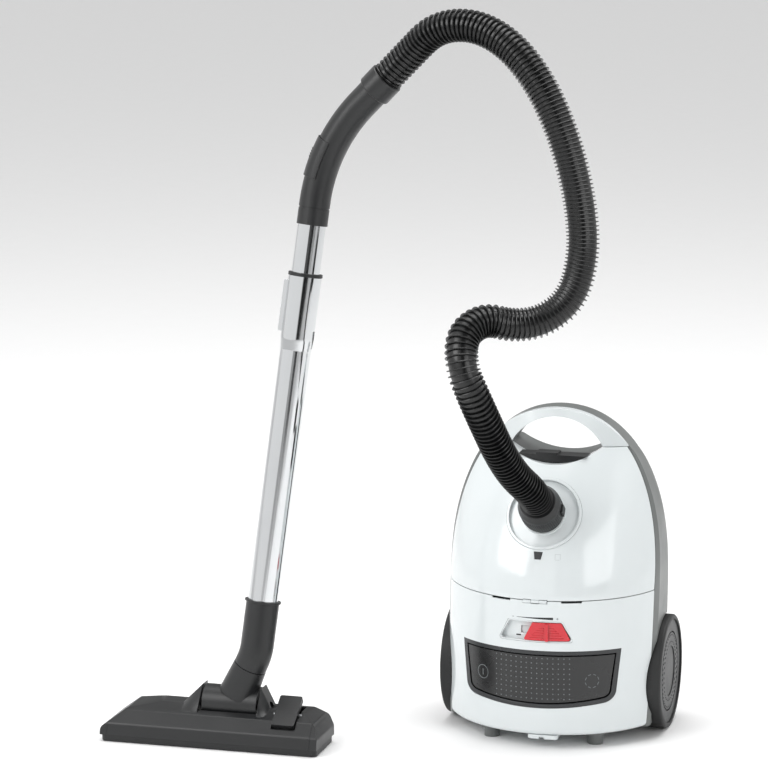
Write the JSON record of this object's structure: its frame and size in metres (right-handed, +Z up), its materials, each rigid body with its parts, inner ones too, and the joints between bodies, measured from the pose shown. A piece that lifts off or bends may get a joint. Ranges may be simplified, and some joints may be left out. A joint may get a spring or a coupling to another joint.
{
  "type": "canister vacuum cleaner",
  "caption": "Bagged canister vacuum cleaner parked on end, with swivelling ribbed hose, bent grip, telescopic chromed wand and tilting floor head.",
  "frame": {"origin": "centre of the canister's footprint on the floor, at the underside of its parking feet, with the canister standing on its rear end", "axes": "+X to the canister's right seen from behind its hose inlet face, -Y the way the hose inlet faces, +Z up"},
  "size_m": [0.631, 0.3654, 0.8569],
  "materials": {
    "white_gloss": "glossy injection-moulded ABS",
    "grey_shell": "satin mid-grey ABS",
    "panel_trim": "satin dark-grey ABS",
    "panel_face": "satin black ABS with a printed dot pattern",
    "red_knob": "glossy red ABS",
    "charcoal": "fine-grained charcoal polypropylene",
    "black_plastic": "black polypropylene",
    "hose_black": "ribbed black EVA",
    "chrome_tube": "bright chromed steel tube",
    "steel": "bright steel",
    "tyre_rubber": "soft dark rubber",
    "seal_rubber": "moulded rubber",
    "window": "smoked clear plastic",
    "filter_cloth": "non-woven filter cloth",
    "bag_paper": "non-woven dust bag",
    "board": "glass-epoxy board",
    "motor_plastic": "grey glass-filled nylon",
    "bristle": "nylon bristle"
  },
  "bodies": {
    "canister": {"front_shell": "white_gloss", "rear_shell": "grey_shell", "handle_cover": "white_gloss", "panel_frame": "panel_trim", "pedal_pin": "steel", "pedal_springs": "steel", "slider_bezel": "white_gloss", "circuit_board": "board", "hinge_pin": "steel", "bulkhead": "motor_plastic", "premotor_filter": "filter_cloth", "motor_housing": "motor_plastic", "motor_can": "steel", "reel_frame": "motor_plastic", "exhaust_grille": "grey_shell", "exhaust_filter": "filter_cloth", "bag_holder": "motor_plastic", "dust_bag": "bag_paper", "parking_feet": "grey_shell", "cord_outlet": "white_gloss", "wheel_axles": "steel", "shell_screws": "steel"},
    "lid": {"lid": "white_gloss", "inlet_dish": "white_gloss", "inlet_seal": "seal_rubber", "indicator_window": "window", "lid_seal": "seal_rubber"},
    "latch": {"latch_button": "charcoal"},
    "slider": {"slider_knob": "red_knob"},
    "pedals": {"pedal_panel": "panel_face"},
    "motor_shaft": {"motor_rotor": "steel"},
    "cord_drum": {"reel_drum": "motor_plastic"},
    "wheel_left": {"tyre_left": "tyre_rubber", "wheel_disc_left": "charcoal"},
    "wheel_right": {"tyre_right": "tyre_rubber", "wheel_disc_right": "charcoal"},
    "caster": {"caster_fork": "charcoal", "caster_pin": "steel"},
    "caster_wheel": {"caster_roller": "tyre_rubber"},
    "hose_line": {"hose": "hose_black", "hose_cuff": "black_plastic", "swivel_collar": "charcoal"},
    "cuff_tab": {"cuff_button": "black_plastic"},
    "grip": {"handle_grip": "charcoal", "upper_tube": "chrome_tube"},
    "relief": {"air_slider": "charcoal"},
    "wand": {"lower_tube": "chrome_tube", "lock_sleeve": "chrome_tube", "sleeve_ring": "black_plastic", "neck_tube": "charcoal"},
    "wand_lock": {"lock_slide": "chrome_tube"},
    "elbow": {"head_elbow": "charcoal"},
    "floor_head": {"head_cover": "charcoal", "end_caps": "charcoal", "sole_plate": "black_plastic", "head_pins": "steel"},
    "rocker": {"rocker_pedal": "black_plastic"},
    "brush": {"brush_carrier": "black_plastic", "bristle_strip": "bristle"},
    "rollers": {"head_rollers": "tyre_rubber"}
  },
  "joints": [
    {"name": "lid_hinge", "type": "hinge", "parent": "canister", "child": "lid", "pos_m": [0, -0.111, 0.1776], "axis": [1, 0, 0], "range_deg": [0, 70]},
    {"name": "latch_press", "type": "slide", "parent": "lid", "child": "latch", "axis": [0, 1, 0], "range_m": [0, 0.003], "stiffness_N_per_m": 500, "springref_m": -0.002},
    {"name": "power_slide", "type": "hinge", "parent": "canister", "child": "slider", "pos_m": [0, 0.01877, 0.14225], "axis": [0, 0, 1], "range_deg": [-12.2, 0]},
    {"name": "pedal_rock", "type": "hinge", "parent": "canister", "child": "pedals", "pos_m": [0, -0.09746, 0.085], "axis": [0, 0, 1], "range_deg": [-1.5, 1.5], "stiffness_Nm_per_rad": 6},
    {"name": "motor_spin", "type": "hinge", "parent": "canister", "child": "motor_shaft", "pos_m": [-0.046, 0.014, 0.09], "axis": [0, 0, 1], "continuous": true},
    {"name": "drum_spin", "type": "hinge", "parent": "canister", "child": "cord_drum", "pos_m": [0.056, 0.014, 0.088], "axis": [1, 0, 0], "continuous": true},
    {"name": "wheel_left_spin", "type": "hinge", "parent": "canister", "child": "wheel_left", "pos_m": [-0.118, 0.031, 0.0675], "axis": [1, 0, 0], "continuous": true},
    {"name": "wheel_right_spin", "type": "hinge", "parent": "canister", "child": "wheel_right", "pos_m": [0.118, 0.031, 0.0675], "axis": [1, 0, 0], "continuous": true},
    {"name": "caster_swivel", "type": "hinge", "parent": "canister", "child": "caster", "pos_m": [0, 0.057, 0.285], "axis": [0, 1, 0], "continuous": true},
    {"name": "caster_spin", "type": "hinge", "parent": "caster", "child": "caster_wheel", "pos_m": [0, 0.0855, 0.279], "axis": [1, 0, 0], "continuous": true},
    {"name": "hose_swivel", "type": "hinge", "parent": "lid", "child": "hose_line", "pos_m": [0, -0.07297, 0.274], "axis": [0, -0.8356, 0.5493], "range_deg": [-10, 10]},
    {"name": "cuff_press", "type": "slide", "parent": "hose_line", "child": "cuff_tab", "axis": [-1, 0, 0], "range_m": [0, 0.0015], "stiffness_N_per_m": 600, "springref_m": -0.001},
    {"name": "grip_swivel", "type": "hinge", "parent": "hose_line", "child": "grip", "pos_m": [-0.20125, -0.08068, 0.75696], "axis": [0.6949, -0.0303, 0.7185], "range_deg": [-20, 20]},
    {"name": "relief_slide", "type": "hinge", "parent": "grip", "child": "relief", "pos_m": [-0.08475, -0.12821, 0.61306], "axis": [0.2027, 0.9669, -0.1553], "range_deg": [0, 8]},
    {"name": "tube_slide", "type": "slide", "parent": "grip", "child": "wand", "axis": [-0.0973, -0.1379, -0.9857], "range_m": [0, 0.32]},
    {"name": "lock_press", "type": "slide", "parent": "wand", "child": "wand_lock", "axis": [-0.0973, -0.1379, -0.9857], "range_m": [0, 0.008], "stiffness_N_per_m": 300, "springref_m": -0.003},
    {"name": "neck_swivel", "type": "hinge", "parent": "wand", "child": "elbow", "pos_m": [-0.32866, -0.16, 0.08968], "axis": [0.4067, 0, 0.9135], "range_deg": [-40, 40]},
    {"name": "head_tilt", "type": "hinge", "parent": "elbow", "child": "floor_head", "pos_m": [-0.349, -0.16, 0.044], "axis": [1, 0, 0], "range_deg": [-10, 60]},
    {"name": "rocker_rock", "type": "hinge", "parent": "floor_head", "child": "rocker", "pos_m": [-0.277, -0.179, 0.04], "axis": [1, 0, 0], "range_deg": [-14, 0]},
    {"name": "brush_lift", "type": "slide", "parent": "floor_head", "child": "brush", "axis": [0, 0, 1], "range_m": [0, 0.0045]},
    {"name": "roller_spin", "type": "hinge", "parent": "floor_head", "child": "rollers", "pos_m": [-0.366, -0.15, 0.0075], "axis": [1, 0, 0], "continuous": true}
  ],
  "couplings": [
    {"joint": "brush_lift", "follows": "rocker_rock", "m_per_rad": -0.0164}
  ]
}
